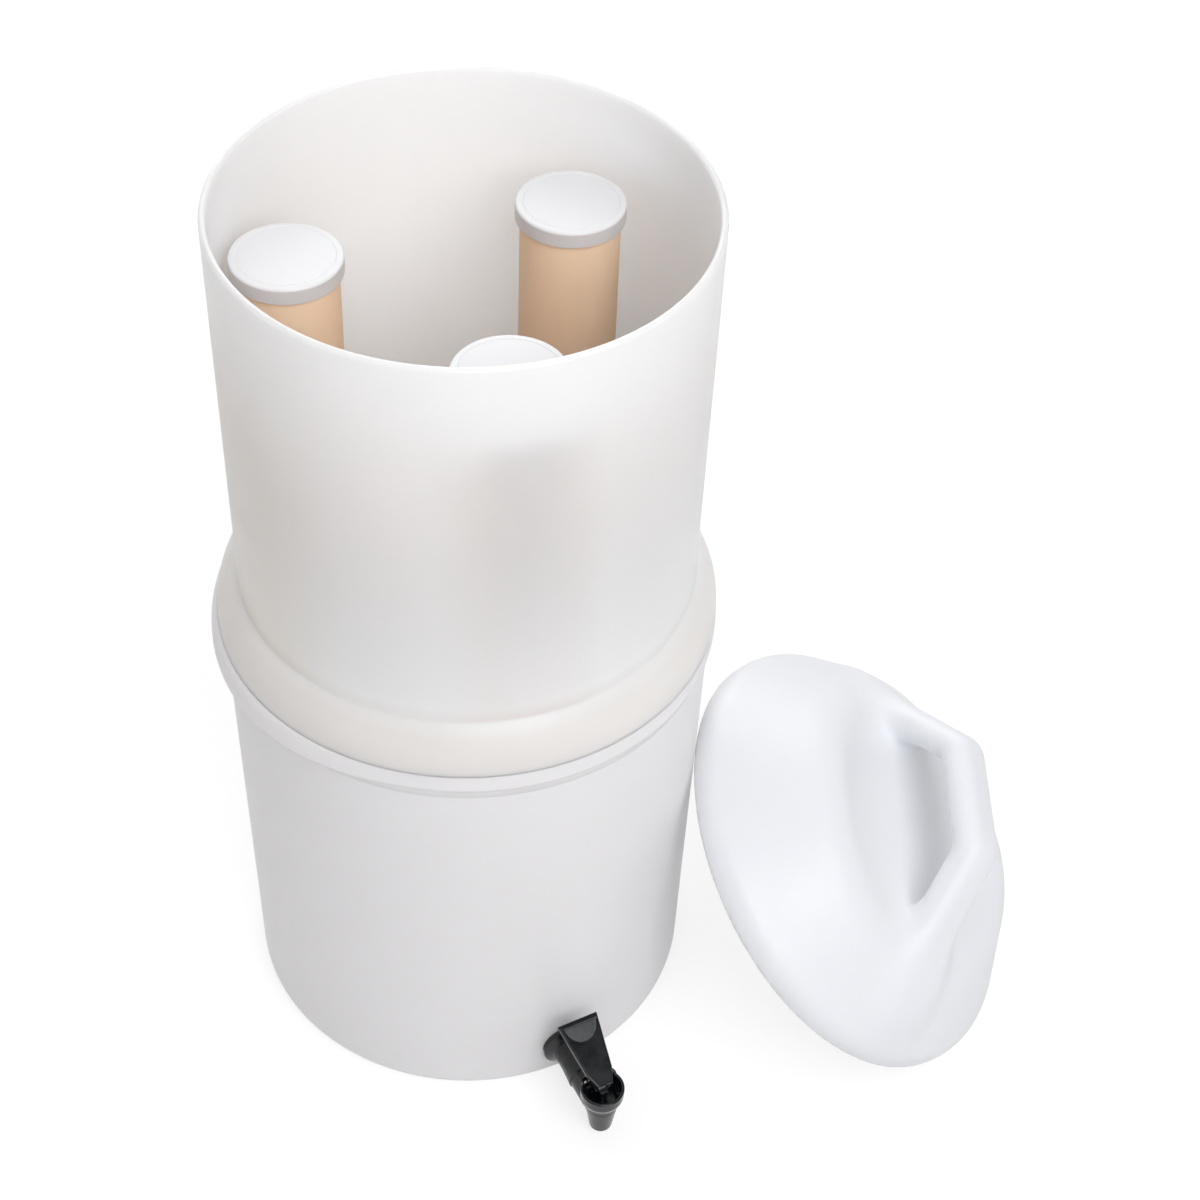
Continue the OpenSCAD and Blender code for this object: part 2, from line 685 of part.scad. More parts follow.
module lid_grip() {
    rings = len(arch);
    sides = len(bar_outline(grip_w, grip_t));
    skin = [for (i = [0:rings - 2]) for (j = [0:sides - 1]) let (k = (j + 1) % sides)
        [i * sides + j, (i + 1) * sides + j, (i + 1) * sides + k, i * sides + k]];
    ends = [[for (j = [0:sides - 1]) j], [for (j = [sides - 1:-1:0]) (rings - 1) * sides + j]];
    polyhedron([for (s = arch) each station_ring(s)], concat(skin, ends));
}

module lid_upright() {
    difference() {
        union() {
            difference() {
                lid_form(0);
                lid_hollow(0);
            }
            lid_grip();
        }
        difference() {
            lid_form(lid_wall);
            lid_hollow(lid_wall);
        }
    }
}

module lid() {
    color("aliceblue") rotate([0, 0, lean_turn]) translate([lid_out, lean_side, lid_z])
        rotate([0, tilt, 0]) rotate([0, 0, grip_turn]) lid_upright();
}

lower_container();
upper_container();
lid();
tap_body();
tap_bonnet();
tap_seal_disc();
tap_lever();
tap_pivot_pin();
tap_stem();
tap_seat_plug();
tap_spring();
tap_outer_gasket();
tap_inner_washer();
tap_lock_nut();
ceramic_candle(0);  // ceramic_candle_1
ceramic_candle(1);  // ceramic_candle_2
ceramic_candle(2);  // ceramic_candle_3
candle_cap(0);  // candle_cap_1
candle_cap(1);  // candle_cap_2
candle_cap(2);  // candle_cap_3
candle_base(0);  // candle_base_1
candle_base(1);  // candle_base_2
candle_base(2);  // candle_base_3
candle_gasket(0);  // candle_gasket_1
candle_gasket(1);  // candle_gasket_2
candle_gasket(2);  // candle_gasket_3
wing_nut(0);  // wing_nut_1
wing_nut(1);  // wing_nut_2
wing_nut(2);  // wing_nut_3
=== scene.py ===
# A gravity water filter with a lever tap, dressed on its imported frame.
# The sections follow the object as it is put together: lower container, tub, candles, tap, lid.
import math

import bpy
import numpy as np
from mathutils import Matrix, Vector


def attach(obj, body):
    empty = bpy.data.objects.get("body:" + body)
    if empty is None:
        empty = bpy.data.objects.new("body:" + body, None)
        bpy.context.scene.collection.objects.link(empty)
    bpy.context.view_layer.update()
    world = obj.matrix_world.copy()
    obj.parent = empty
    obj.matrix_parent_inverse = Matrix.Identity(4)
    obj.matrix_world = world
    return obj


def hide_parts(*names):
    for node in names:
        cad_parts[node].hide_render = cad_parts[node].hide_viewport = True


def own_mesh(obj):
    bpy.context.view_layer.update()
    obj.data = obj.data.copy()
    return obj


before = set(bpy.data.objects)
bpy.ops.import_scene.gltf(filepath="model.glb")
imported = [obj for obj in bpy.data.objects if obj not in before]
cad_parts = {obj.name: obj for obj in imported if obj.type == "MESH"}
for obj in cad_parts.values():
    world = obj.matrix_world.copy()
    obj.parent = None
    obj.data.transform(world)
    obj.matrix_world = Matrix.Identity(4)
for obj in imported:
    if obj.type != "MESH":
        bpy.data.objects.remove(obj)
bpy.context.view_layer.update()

# ---------------------------------------------------------------------------
# Camera: it looks down on the filter from the front left, from a little over a metre,
# with a long lens. Its three directions are written out, so nothing depends on the frame.
view_from = Vector((-0.371753, -0.808348, 1.142065))
view_right = Vector((0.88746, -0.45960, 0.03435))
view_up = Vector((0.29949, 0.63173, 0.71499))
camera = bpy.data.objects.new("camera", bpy.data.cameras.new("camera"))
bpy.context.collection.objects.link(camera)
turn = Matrix((view_right, view_up, view_right.cross(view_up))).transposed()
camera.matrix_world = Matrix.Translation(view_from) @ turn.to_4x4()
camera.data.sensor_width = 36.0
camera.data.lens = 68.68
camera.data.clip_start = 0.05
camera.data.clip_end = 50.0
bpy.context.scene.camera = camera
bpy.context.scene.view_settings.view_transform = "Standard"

# ---------------------------------------------------------------------------
# Lower container: the bucket that catches the clean water. Moulded in white polypropylene,
# with a rounded foot, a slight taper and a rolled lip. Made by turning one outline.
MM = 0.001
WALL, FIT = 3.5, 0.05
FOOT_R, NECK_R, FLOOR_Z = 127.6, 131.4, 4.0
RECESS_R, RECESS_Z = 104.0, 1.4
LIP_R, LIP_Z, LOWER_H = 138.2, 262.0, 279.0
ROLL_R, ROLL_H = 4.0, 12.5
GATE_R = 9.0


def feed(tree, node, inputs):
    """Gives a node's inputs their values and links."""
    for key, value in inputs.items():
        socket = next(s for s in node.inputs if s.enabled and key in (s.name, s.identifier))
        if isinstance(value, bpy.types.NodeSocket):
            tree.links.new(value, socket)
        else:
            socket.default_value = value


def add(tree, kind, inputs=None, **settings):
    """A node of a tree, with its settings, its values and its links."""
    node = tree.nodes.new(kind)
    for key, value in settings.items():
        setattr(node, key, value)
    feed(tree, node, inputs or {})
    return node


def out(node, name):
    """The output of a node that is in use under that name."""
    return next(s for s in node.outputs if s.enabled and s.name == name)


def maths(tree, operation, *values):
    """The result of one sum on up to three values."""
    inputs = dict(zip(("Value", "Value_001", "Value_002"), values))
    return out(add(tree, "ShaderNodeMath", inputs, operation=operation), "Value")


def new_tree(name, **inputs):
    """An empty Geometry Nodes tree with named inputs, and its input and output nodes."""
    tree = bpy.data.node_groups.new(name, "GeometryNodeTree")
    tree.interface.new_socket("Geometry", in_out="INPUT", socket_type="NodeSocketGeometry")
    for label, kind in inputs.items():
        tree.interface.new_socket(label, in_out="INPUT", socket_type="NodeSocket" + kind)
    tree.interface.new_socket("Geometry", in_out="OUTPUT", socket_type="NodeSocketGeometry")
    return tree, tree.nodes.new("NodeGroupInput").outputs, tree.nodes.new("NodeGroupOutput").inputs


def end_tree(tree, geometry, smooth, finish, output):
    """The end of each tree: real geometry, shaded smooth or flat, with its finish."""
    real = out(add(tree, "GeometryNodeRealizeInstances", {"Geometry": geometry}), "Geometry")
    shaded = add(tree, "GeometryNodeSetShadeSmooth", {"Geometry": real, "Shade Smooth": smooth})
    last = add(tree, "GeometryNodeSetMaterial", {"Geometry": out(shaded, "Geometry"), "Material": finish})
    tree.links.new(out(last, "Geometry"), output)


def grown(name, start, tree, place=None, **values):
    """A plain mesh object grown from a start mesh by a tree, then put in its place."""
    piece = bpy.data.objects.new(name, start)
    bpy.context.collection.objects.link(piece)
    growth = piece.modifiers.new(tree.name, "NODES")
    growth.node_group = tree
    for item in tree.interface.items_tree:
        if item.in_out == "INPUT" and item.name in values:
            growth[item.identifier] = values[item.name]
    piece.update_tag()
    graph = bpy.context.evaluated_depsgraph_get()
    mesh = bpy.data.meshes.new_from_object(piece.evaluated_get(graph), depsgraph=graph)
    piece.modifiers.clear()
    piece.data = mesh
    mesh.name = name
    if place is not None:
        mesh.transform(place)
    return piece


def turning_tree():
    """Turns the points of an outline in the XZ plane once round Z."""
    tree, given, result = new_tree("turned", Steps="Int", Finish="Material")
    outline, steps = given["Geometry"], given["Steps"]
    count = out(add(tree, "GeometryNodeAttributeDomainSize", {"Geometry": outline}), "Point Count")
    last, seam = maths(tree, "SUBTRACT", count, 1.0), maths(tree, "ADD", steps, 1.0)
    grid = add(tree, "GeometryNodeMeshGrid", {
        "Size X": last, "Size Y": steps, "Vertices X": count, "Vertices Y": seam})
    position = out(add(tree, "GeometryNodeInputPosition"), "Position")
    spot = add(tree, "ShaderNodeSeparateXYZ", {"Vector": position})
    index = maths(tree, "ROUND", maths(tree, "MULTIPLY_ADD", last, 0.5, out(spot, "X")))
    point = add(tree, "GeometryNodeSampleIndex", {"Geometry": outline, "Index": index, "Value": position},
                data_type="FLOAT_VECTOR")
    edge = add(tree, "ShaderNodeSeparateXYZ", {"Vector": out(point, "Value")})
    angle = maths(tree, "MULTIPLY", maths(tree, "DIVIDE", out(spot, "Y"), steps), math.tau)
    sides = [maths(tree, "MULTIPLY", maths(tree, way, angle), out(edge, "X")) for way in ("COSINE", "SINE")]
    round_spot = add(tree, "ShaderNodeCombineXYZ", {"X": sides[0], "Y": sides[1], "Z": out(edge, "Z")})
    moved = add(tree, "GeometryNodeSetPosition", {
        "Geometry": out(grid, "Mesh"), "Position": out(round_spot, "Vector")})
    closed = add(tree, "GeometryNodeMergeByDistance", {"Geometry": out(moved, "Geometry"), "Distance": 2e-6})
    outward = add(tree, "GeometryNodeFlipFaces", {"Mesh": out(closed, "Geometry")})
    end_tree(tree, out(outward, "Mesh"), True, given["Finish"], result["Geometry"])
    return tree


TURNED = turning_tree()


def rounded(corners, closed, steps=5):
    """An outline with each corner (r, z, rounding) rounded, and a holding point at each arc's ends."""
    points = []
    for i, (r, z, rounding) in enumerate(corners):
        corner = Vector((r, z))
        if rounding == 0:
            points.append(corner)
            continue
        back = Vector(corners[i - 1][:2]) - corner
        ahead = Vector(corners[(i + 1) % len(corners)][:2]) - corner
        half = back.angle(ahead) / 2
        reach = rounding / math.tan(half)
        hold = 0.3 * rounding
        start = corner + back.normalized() * reach
        centre = corner + (back.normalized() + ahead.normalized()).normalized() * rounding / math.sin(half)
        spoke = start - centre
        sweep = math.pi - 2 * half
        if back.x * ahead.y - back.y * ahead.x > 0:
            sweep = -sweep
        if reach + hold < 0.49 * back.length:
            points.append(corner + back.normalized() * (reach + hold))
        for k in range(steps + 1):
            c, s = math.cos(sweep * k / steps), math.sin(sweep * k / steps)
            points.append(centre + Vector((c * spoke.x - s * spoke.y, s * spoke.x + c * spoke.y)))
        if reach + hold < 0.49 * ahead.length:
            points.append(corner + ahead.normalized() * (reach + hold))
    return points + points[:1] if closed else points


def turned(name, corners, finish, closed=False, steps=128, place=None):
    """A piece turned from its outline in millimetres: underside, outside, top, then inside."""
    start = bpy.data.meshes.new(name + "_outline")
    start.from_pydata([(p.x * MM, 0.0, p.y * MM) for p in rounded(corners, closed)], [], [])
    return grown(name, start, TURNED, place, Steps=steps, Finish=finish)


def dress(piece, body, slot, *nodes):
    """The frame's calls for a finished piece."""
    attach(piece, body)
    if nodes:
        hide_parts(*nodes)


def new_finish(name):
    """A material, its tree, its shader, and the place on the piece."""
    material = bpy.data.materials.new(name)
    material.use_nodes = True
    tree = material.node_tree
    return material, tree, tree.nodes["Principled BSDF"], out(add(tree, "ShaderNodeTexCoord"), "Object")


def speckle(tree, place, scale, detail=2.0, stretch=None):
    """Noise over the piece. Stretch draws it out along the axes."""
    if stretch:
        place = out(add(tree, "ShaderNodeMapping", {"Vector": place, "Scale": stretch}), "Vector")
    return out(add(tree, "ShaderNodeTexNoise", {"Vector": place, "Scale": scale, "Detail": detail}), "Fac")


NOISE_LOW, NOISE_HIGH = 0.3, 0.7


def ranged(tree, value, start, end, low=0.0, high=1.0, interpolation="SMOOTHSTEP"):
    """A value carried from one span to another, and held at the ends."""
    return out(add(tree, "ShaderNodeMapRange", {
        "Value": value, "From Min": start, "From Max": end, "To Min": low, "To Max": high},
        interpolation_type=interpolation), "Result")


def spread(tree, value, low, high):
    """A noise value spread between two numbers."""
    return ranged(tree, value, NOISE_LOW, NOISE_HIGH, low, high, "LINEAR")


def tinted(tree, value, dark, light):
    """A colour between two, by a noise value."""
    ramp = add(tree, "ShaderNodeValToRGB", {"Fac": value})
    for end, place, colour in zip(ramp.color_ramp.elements, (NOISE_LOW, NOISE_HIGH), (dark, light)):
        end.position = place
        end.color = (*colour, 1)
    return out(ramp, "Color")


def deepened(tree, colour, share, shade):
    """A colour multiplied by a shade, as far as the share says."""
    inputs = {"Factor_Float": share, "A_Color": colour, "B_Color": (*shade, 1)}
    return out(add(tree, "ShaderNodeMix", inputs, data_type="RGBA", blend_type="MULTIPLY"), "Result")


def relief(tree, height, strength, distance, under=None):
    """A fine relief for the shader, on top of another one where that is given."""
    inputs = {"Height": height, "Strength": strength, "Distance": distance}
    if under is not None:
        inputs["Normal"] = under
    return out(add(tree, "ShaderNodeBump", inputs), "Normal")


def milky_plastic(name, light, dark, roughness, depth, radius, clouds=7.0, stretch=None):
    """White polypropylene that lets some light through: faint clouds, and a fine moulded grain."""
    material, tree, shader, place = new_finish(name)
    sag = relief(tree, speckle(tree, place, 26.0, 1.0), 0.1, 0.004)
    feed(tree, shader, {
        "Base Color": tinted(tree, speckle(tree, place, clouds, 3.0, stretch), dark, light),
        "Roughness": spread(tree, speckle(tree, place, 55.0), roughness - 0.05, roughness + 0.05),
        "Normal": relief(tree, speckle(tree, place, 1400.0), 0.1, 0.0002, sag),
        "IOR": 1.49, "Subsurface Weight": depth, "Subsurface Radius": radius, "Subsurface Scale": 0.006})
    return material


def painted_shade_below(material, high, low, shade):
    """Paints shade into a plastic's colour below a height, fading in between two heights in millimetres."""
    tree = material.node_tree
    colour = tree.nodes["Principled BSDF"].inputs["Base Color"]
    place = out(add(tree, "ShaderNodeTexCoord"), "Object")
    height = out(add(tree, "ShaderNodeSeparateXYZ", {"Vector": place}), "Z")
    share = ranged(tree, height, high * MM, low * MM, interpolation="LINEAR")
    tree.links.new(deepened(tree, colour.links[0].from_socket, share, shade), colour)


def gate_mark(floor, deep, soft):
    """The shallow dimple that the mould's gate leaves in the middle of a floor."""
    return [(GATE_R, floor, soft), (GATE_R - 1, floor - deep, soft - 0.1), (0, floor - deep, 0)]


def settle_lip(bucket):
    """Leaves the lip proud on the left and at the back. Elsewhere it is flush under the tub's collar."""
    proud_side, least, start, band = math.radians(150), 0.08, 0.1, 0.8
    deep, wide, tall, rise = 4.2, 2.6, 12.0, 7.0
    spots = np.array([corner.co for corner in bucket.data.vertices]) / MM
    x, y, z = spots.T
    out_r = np.hypot(x, y)
    facing = (math.cos(proud_side) * x + math.sin(proud_side) * y) / np.maximum(out_r, 1)
    proud = np.clip((facing - start) / band, 0, 1)
    proud = least + (1 - least) * proud * proud * (3 - 2 * proud)
    on_lip = (out_r > NECK_R + 0.05) & (z > LIP_Z - 0.1)
    squeeze = np.where(on_lip, np.maximum(out_r - LIP_R + deep, 0) * (1 - proud), 0)
    raised = np.clip((out_r - NECK_R) / wide, 0, 1) * np.clip((LIP_Z + tall - z) / tall, 0, 1)
    spots[:, 2] += np.where(on_lip, raised * rise * (1 - proud), 0)
    spots[:, :2] *= ((out_r - squeeze) / np.maximum(out_r, 1))[:, None] + (out_r < 1)[:, None]
    bucket.data.vertices.foreach_set("co", (spots * MM).ravel())


lower_plastic = milky_plastic(
    "milky_lower", (0.865, 0.845, 0.85), (0.84, 0.82, 0.82), 0.42, 0.4, (1.0, 0.95, 0.9))
roll = [(LIP_R - ROLL_R + ROLL_R * math.cos(math.radians(angle)),
         LOWER_H - ROLL_H + ROLL_H * math.sin(math.radians(angle)), 0) for angle in range(0, 91, 10)]
lower = turned("lower_bucket", [
    (0, RECESS_Z, 0), (RECESS_R, RECESS_Z, 1.0), (RECESS_R + 3, 0, 1.2), (FOOT_R, 0, 6.0),
    (NECK_R, LIP_Z, 1.6), (LIP_R, LIP_Z, 3.5)]
    + roll + [(NECK_R - WALL, LOWER_H, 1.7), (NECK_R - WALL, LIP_Z, 0), (FOOT_R - WALL, FLOOR_Z, 4.0)]
    + gate_mark(FLOOR_Z, 0.6, 0.6), lower_plastic, steps=256)
settle_lip(lower)
dress(lower, "lower", "lower_plastic", "lower_container")

# ---------------------------------------------------------------------------
# Upper container: the tub for the raw water, thinner and more see-through than the bucket.
# One moulded skin with a rim, a flared collar, a spigot that drops into the bucket, and a floor.
RIM_R, RIM_Z, WAIST_R = 123.0, 529.0, 121.6
COLLAR_R, SPIGOT_R, SPIGOT_LOW = 134.0, 126.7, 124.2
TUB_UNDER, TUB_FLOOR = 260.0, 264.0
FLARE_Z, FLARE_H, FLARE_STEPS = 282.0, 25.0, 12


def flare(inset):
    """The collar's round back from its edge up to the waist, where it meets the wall at an angle."""
    shares = [i / FLARE_STEPS for i in range(FLARE_STEPS + 1)]
    return [(WAIST_R - inset + (COLLAR_R - WAIST_R) * (1 - share ** 2), FLARE_Z + FLARE_H * share,
             0 if share < 1 else 4.0) for share in shares]


SHADE_R, SHADE_Z = 122.2, FLARE_Z + FLARE_H - 0.2
# Each candle's painted shadow on the tub's wall: its direction, where it starts and where it is full, and its
# colour.
PAINTED_CANDLE_SHADOWS = ((24, 0.92, 0.99, (1, 0.95, 0.935)), (168, 0.62, 0.98, (0.95, 0.905, 0.83)),
                 (259, 0.92, 0.99, (1, 0.94, 0.925)))


def painted_candle_shadows(tree, place, height, colour):
    """Paints each candle's shadow, and warm bounced light at the left one, on the tub's wall below the caps.
    """
    top, foot = ranged(tree, height, 0.5, 0.42), maths(tree, "GREATER_THAN", height, SHADE_Z * MM)
    for angle, start, full, shade in PAINTED_CANDLE_SHADOWS:
        toward = [way(math.radians(angle)) / (SHADE_R * MM) for way in (math.cos, math.sin)]
        facing = add(tree, "ShaderNodeVectorMath", {"Vector": place, "Vector_001": (*toward, 0)},
                     operation="DOT_PRODUCT")
        near = maths(tree, "MULTIPLY", ranged(tree, out(facing, "Value"), start, full), top)
        colour = deepened(tree, colour, maths(tree, "MULTIPLY", near, foot), shade)
    return colour


def tub_finish(name):
    """The tub's plastic: streaked up the wall, clearer toward the rim, with the candles' shadows painted on
    it.
    """
    material = milky_plastic(name, (0.965, 0.95, 0.94), (0.945, 0.925, 0.915), 0.38, 1.0, (1.0, 0.98, 0.96),
                             22.0, (1, 1, 0.05))
    tree, shader = material.node_tree, material.node_tree.nodes["Principled BSDF"]
    place = out(add(tree, "ShaderNodeTexCoord"), "Object")
    height = out(add(tree, "ShaderNodeSeparateXYZ", {"Vector": place}), "Z")
    streaks = shader.inputs["Base Color"].links[0].from_socket
    feed(tree, shader, {"Base Color": painted_candle_shadows(tree, place, height, streaks),
                        "Subsurface Scale": ranged(tree, height, 0.29, 0.46, 0.006, 0.022)})
    return material


tub_plastic = tub_finish("milky_tub")
# Painted shade darkens the tub's collar, spigot and floor, below the waist.
painted_shade_below(tub_plastic, 315, 300, (0.86, 0.84, 0.82))
tub = turned("tub", [
    (0, TUB_UNDER, 0), (SPIGOT_LOW, TUB_UNDER, 5.0), (SPIGOT_R, LOWER_H, 0.5),
    (COLLAR_R + 0.2, LOWER_H - 0.02, 0.15)]
    + flare(0) + [(RIM_R, RIM_Z, 1.7), (RIM_R - WALL, RIM_Z, 1.7)] + flare(WALL)[::-1] + [
    (COLLAR_R - WALL, LOWER_H + WALL, 1.0), (SPIGOT_R - WALL, LOWER_H + WALL, 1.5),
    (SPIGOT_LOW - WALL, TUB_FLOOR, 2.0)] + gate_mark(TUB_FLOOR, 0.5, 0.4), tub_plastic, steps=256)
dress(tub, "upper", "tub_plastic", "upper_container")

# ---------------------------------------------------------------------------
# Ceramic candles: three hollow tubes of fired, unglazed ceramic, closed at the top. They stand
# on the tub's floor, and water seeps through their walls. Turned, with a fine-pored surface.
CANDLE_R, CERAMIC_WALL = 25.4, 8.0
CANDLE_SPOTS = ((79.5, 24.0), (87.0, 146.0), (77.5, 260.0))
CANDLES = range(len(CANDLE_SPOTS))
CAP_TOP, CERAMIC_Z = 490.0, 276.0
CERAMIC_TOP, BORE_R = CAP_TOP - 2.5, CANDLE_R - CERAMIC_WALL


def candle_place(number):
    """Where a candle stands on the tub's floor."""
    reach, angle = CANDLE_SPOTS[number]
    return Matrix.Rotation(math.radians(angle), 4, "Z") @ Matrix.Translation((reach * MM, 0, 0))


def fired_ceramic(name):
    """Unglazed ceramic: peach colour in faint clouds, with fine pores."""
    material, tree, shader, place = new_finish(name)
    clouds, pores = speckle(tree, place, 16.0, 6.0, (1, 1, 0.5)), speckle(tree, place, 900.0, 3.0)
    feed(tree, shader, {
        "Base Color": tinted(tree, clouds, (0.92, 0.66, 0.46), (0.96, 0.73, 0.53)),
        "Normal": relief(tree, pores, 0.35, 0.0004), "Roughness": spread(tree, pores, 0.8, 0.95),
        "Subsurface Weight": 0.15, "Subsurface Radius": (1.0, 0.6, 0.35), "Subsurface Scale": 0.003})
    return material


ceramic = fired_ceramic("fired_ceramic")
for number in CANDLES:
    candle = turned("candle_%d" % (number + 1), [
        (0, CERAMIC_TOP - CERAMIC_WALL, 0), (BORE_R, CERAMIC_TOP - CERAMIC_WALL, 1.0),
        (BORE_R, CERAMIC_Z, 0.5), (CANDLE_R, CERAMIC_Z, 0.5), (CANDLE_R, CERAMIC_TOP, 2.0),
        (0, CERAMIC_TOP, 0),
    ], ceramic, steps=96, place=candle_place(number))
    dress(candle, "upper", "ceramic", "ceramic_candle_%d" % (number + 1))

# ---------------------------------------------------------------------------
# Caps: a white moulded cap is glued over the top of each candle. A cup with a rounded edge,
# and a shallow ring on top that the mould leaves.
CAP_R, CAP_LOW = CANDLE_R + 2.5, CAP_TOP - 9.0
RING_R, RING_Z = CAP_R - 3.9, CAP_TOP - 0.25
cap_plastic = milky_plastic(
    "cap_white", (0.83, 0.83, 0.845), (0.81, 0.81, 0.825), 0.36, 0.15, (1.0, 0.95, 0.9))
# Painted shade: each cap's side is darker than its lit top.
painted_shade_below(cap_plastic, CAP_TOP - 0.2, CAP_TOP - 1.4, (0.79, 0.765, 0.76))
for number in CANDLES:
    cap = turned("cap_%d" % (number + 1), [
        (0, CERAMIC_TOP, 0), (CANDLE_R + FIT, CERAMIC_TOP, 0.5), (CANDLE_R + FIT, CAP_LOW, 0.4),
        (CAP_R, CAP_LOW, 0.6), (CAP_R, CAP_TOP, 1.4), (RING_R + 0.5, CAP_TOP, 0.2),
        (RING_R + 0.2, RING_Z, 0.1), (RING_R - 0.2, RING_Z, 0.1), (RING_R - 0.5, CAP_TOP, 0.2),
        (0, CAP_TOP, 0),
    ], cap_plastic, steps=96, place=candle_place(number))
    dress(cap, "upper", "cap_plastic", "candle_cap_%d" % (number + 1))

# ---------------------------------------------------------------------------
# Candle bases: a moulded end piece glued under each candle, with a hollow threaded stem that
# passes through the tub's floor. The thread is a ridge wound round the stem.
STEM_R, STEM_BORE, BASE_Z = 6.0, 2.5, 266.0
STEM_LOW, STEM_ROOT = BASE_Z - 30.0, STEM_R - 0.35
BASE_TOP = CERAMIC_Z + 4


def thread_tree():
    """A ridge with a pointed section, wound up a stem."""
    tree, given, result = new_tree("thread", Radius="Float", Pitch="Float", Turns="Float", Ridge="Float",
                                   Finish="Material")
    helix = add(tree, "GeometryNodeCurveSpiral", {
        "Resolution": 32, "Rotations": given["Turns"], "Start Radius": given["Radius"],
        "End Radius": given["Radius"], "Height": maths(tree, "MULTIPLY", given["Pitch"], given["Turns"])})
    section = add(tree, "GeometryNodeCurvePrimitiveCircle", {"Resolution": 4, "Radius": given["Ridge"]},
                  mode="RADIUS")
    swept = add(tree, "GeometryNodeCurveToMesh", {
        "Curve": out(helix, "Curve"), "Profile Curve": out(section, "Curve"), "Fill Caps": True})
    end_tree(tree, out(swept, "Mesh"), False, given["Finish"], result["Geometry"])
    return tree


THREAD = thread_tree()


def thread(name, radius, pitch, length, ridge, finish, place):
    """The thread of a stem, from its start for a length, in millimetres."""
    return grown(name, bpy.data.meshes.new(name), THREAD, place, Radius=radius * MM, Pitch=pitch * MM,
                 Turns=length / pitch, Ridge=ridge * MM, Finish=finish)


for number in CANDLES:
    stand = candle_place(number)
    base = turned("candle_foot_%d" % (number + 1), [
        (STEM_BORE, STEM_LOW, 0.3), (STEM_ROOT, STEM_LOW, 0.8), (STEM_ROOT, BASE_Z, 0.3),
        (CANDLE_R, BASE_Z, 1.5), (CANDLE_R, CERAMIC_Z, 0.2), (BORE_R - FIT, CERAMIC_Z, 0),
        (BORE_R - FIT, BASE_TOP, 0.6), (STEM_BORE, BASE_TOP, 0.3),
    ], cap_plastic, closed=True, steps=64, place=stand)
    dress(base, "upper", "cap_plastic", "candle_base_%d" % (number + 1))
    ridge = thread("stem_thread_%d" % (number + 1), STEM_R - 0.5, 1.75, 27.0, 0.45, cap_plastic,
                   stand @ Matrix.Translation((0, 0, (STEM_LOW + 1.2) * MM)))
    dress(ridge, "upper", "cap_plastic")


# ---------------------------------------------------------------------------
# Rubber: the flat gasket under each candle, the two washers that seal the tap's shank in the
# wall, and the disc and plug in the valve. Black moulded rubber with a dull, fine grain.
SEAL_R = 17.4


def dull_rubber(name):
    """Black rubber, dull, with a fine grain and a greyish bloom."""
    material, tree, shader, place = new_finish(name)
    bloom = speckle(tree, place, 90.0, 4.0)
    feed(tree, shader, {
        "Base Color": tinted(tree, bloom, (0.022, 0.022, 0.023), (0.045, 0.045, 0.044)),
        "Normal": relief(tree, speckle(tree, place, 2200.0), 0.3, 0.0002), "Roughness": 0.75})
    return material


rubber = dull_rubber("black_rubber")
for number in CANDLES:
    gasket = turned("candle_seal_%d" % (number + 1), [
        (STEM_R + FIT, TUB_FLOOR, 0.3), (SEAL_R, TUB_FLOOR, 0.5), (SEAL_R, BASE_Z, 0.5),
        (STEM_R + FIT, BASE_Z, 0.3),
    ], rubber, closed=True, steps=64, place=candle_place(number))
    dress(gasket, "upper", "rubber", "candle_gasket_%d" % (number + 1))


# ---------------------------------------------------------------------------
# Wing nuts: under the tub's floor one wing nut clamps each candle. White moulded plastic with
# rounded wings and a flange. Moulded pieces are the skin of a solid whose parts blend softly.
def to_outline(points, a, b):
    """Distance to a closed outline, below zero inside it."""
    nearest = np.full(np.shape(a), 1e9)
    side = np.ones(np.shape(a))
    for (ax, ay), (bx, by) in zip(points, [points[-1]] + points[:-1]):
        ex, ey = bx - ax, by - ay
        wx, wy = a - ax, b - ay
        t = np.clip((wx * ex + wy * ey) / (ex * ex + ey * ey), 0, 1)
        nearest = np.minimum(nearest, (wx - ex * t) ** 2 + (wy - ey * t) ** 2)
        above, below, left = b >= ay, b < by, ex * wy > ey * wx
        side = np.where((above & below & left) | ~(above | below | left), -side, side)
    return side * np.sqrt(nearest)


def both_sides(points):
    """An outline from the axis out and back, completed with its mirror image."""
    return points + [(-x, y) for x, y in reversed(points) if x > 0]


def join(a, b, soft):
    """Two solids together, with a soft fillet between them."""
    h = np.clip(0.5 + 0.5 * (b - a) / soft, 0, 1)
    return b * (1 - h) + a * h - soft * h * (1 - h)


def trim(a, b, soft):
    """What two solids share, with a soft edge."""
    return -join(-a, -b, soft)


def round_trim(a, b, radius):
    """What two solids share, with an edge rounded to a radius."""
    beyond = np.hypot(np.maximum(a + radius, 0), np.maximum(b + radius, 0))
    return np.minimum(-radius, np.maximum(a, b)) + beyond


SETTLING, PROBE = 4, 0.05


